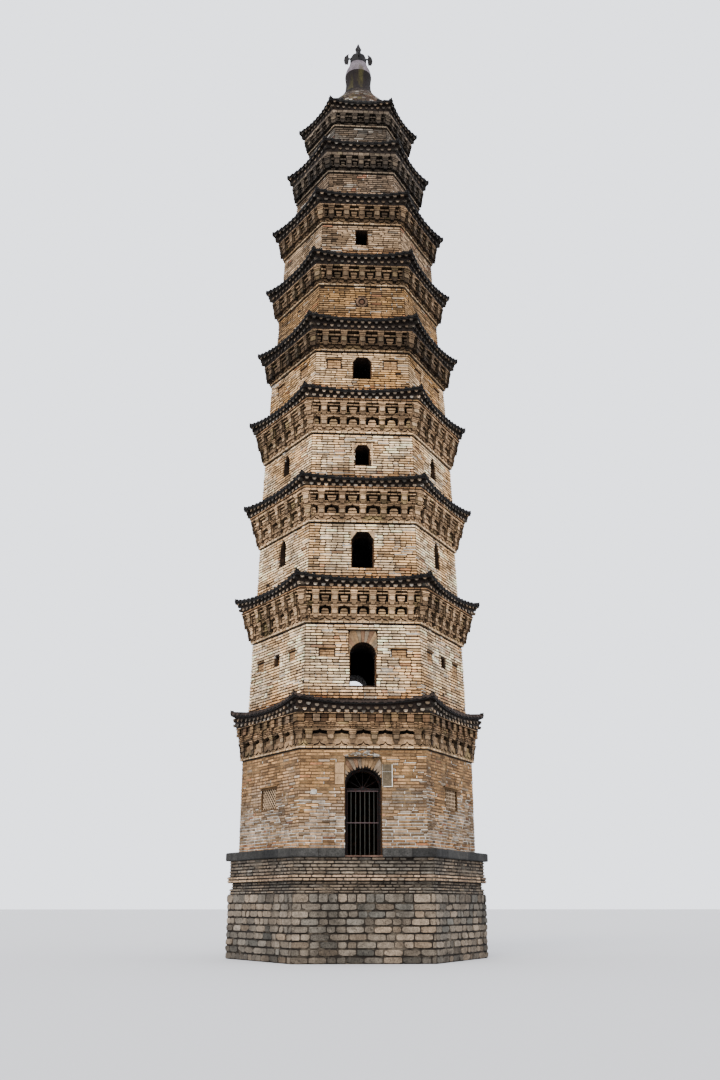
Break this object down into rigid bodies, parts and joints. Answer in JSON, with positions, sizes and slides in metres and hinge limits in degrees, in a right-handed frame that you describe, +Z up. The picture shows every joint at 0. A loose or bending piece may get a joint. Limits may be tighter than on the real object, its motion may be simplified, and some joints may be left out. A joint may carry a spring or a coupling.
{
  "type": "pagoda",
  "caption": "Tall six-sided brick pagoda with bracketed eaves, arched windows, a barred swinging gate and a vase-shaped finial, on a masonry base.",
  "frame": {"origin": "centre of the base's underside, on the tower's axis", "axes": "+Z up along the tower, -Y out through the doorway, +X towards a corner of the hexagon"},
  "size_m": [6.42, 5.5598, 27],
  "materials": {
    "wall_brick": "weathered grey-tan brick with deep joints",
    "cornice_brick": "darker weathered brick",
    "base_stone": "worn grey slabs",
    "roof_tile": "dark unglazed fired clay",
    "finial_render": "weathered lime render with moss stains",
    "finial_iron": "dark rusted iron",
    "gate_paint": "dull reddish-brown paint"
  },
  "bodies": {
    "tower": {"base_coping": "base_stone", "base_plinth": "base_stone", "base_upper": "wall_brick", "base_waist": "wall_brick", "cornice_1": "cornice_brick", "cornice_2": "cornice_brick", "cornice_3": "cornice_brick", "cornice_4": "cornice_brick", "cornice_5": "cornice_brick", "cornice_6": "cornice_brick", "cornice_7": "cornice_brick", "cornice_8": "cornice_brick", "cornice_9": "cornice_brick", "door_threshold": "base_stone", "finial_bell": "finial_render", "finial_collar": "finial_render", "finial_crown": "finial_iron", "finial_flame": "finial_iron", "finial_foot": "wall_brick", "gate_fanlight": "gate_paint", "gate_post_left": "gate_paint", "gate_post_right": "gate_paint", "roof_1": "roof_tile", "roof_2": "roof_tile", "roof_3": "roof_tile", "roof_4": "roof_tile", "roof_5": "roof_tile", "roof_6": "roof_tile", "roof_7": "roof_tile", "roof_8": "roof_tile", "roof_9": "roof_tile", "wall_1_front_arch": "wall_brick", "wall_1_front_left": "wall_brick", "wall_1_front_right": "wall_brick", "wall_1_rear": "wall_brick", "wall_2_foot": "wall_brick", "wall_2_head": "wall_brick", "wall_2_left": "wall_brick", "wall_2_right": "wall_brick", "wall_3_foot": "wall_brick", "wall_3_head": "wall_brick", "wall_3_left": "wall_brick", "wall_3_right": "wall_brick", "wall_4_foot": "wall_brick", "wall_4_head": "wall_brick", "wall_4_left": "wall_brick", "wall_4_right": "wall_brick", "wall_5_foot": "wall_brick", "wall_5_head": "wall_brick", "wall_5_left": "wall_brick", "wall_5_right": "wall_brick", "wall_6": "wall_brick", "wall_7": "wall_brick", "wall_8": "wall_brick", "wall_9": "wall_brick"},
    "gate": {"gate_leaf": "gate_paint"}
  },
  "joints": [
    {"name": "gate_swing", "type": "hinge", "parent": "tower", "child": "gate", "pos_m": [-0.3477, -2.1082, 2.9], "axis": [0, 0, 1], "range_deg": [0, 90]}
  ]
}
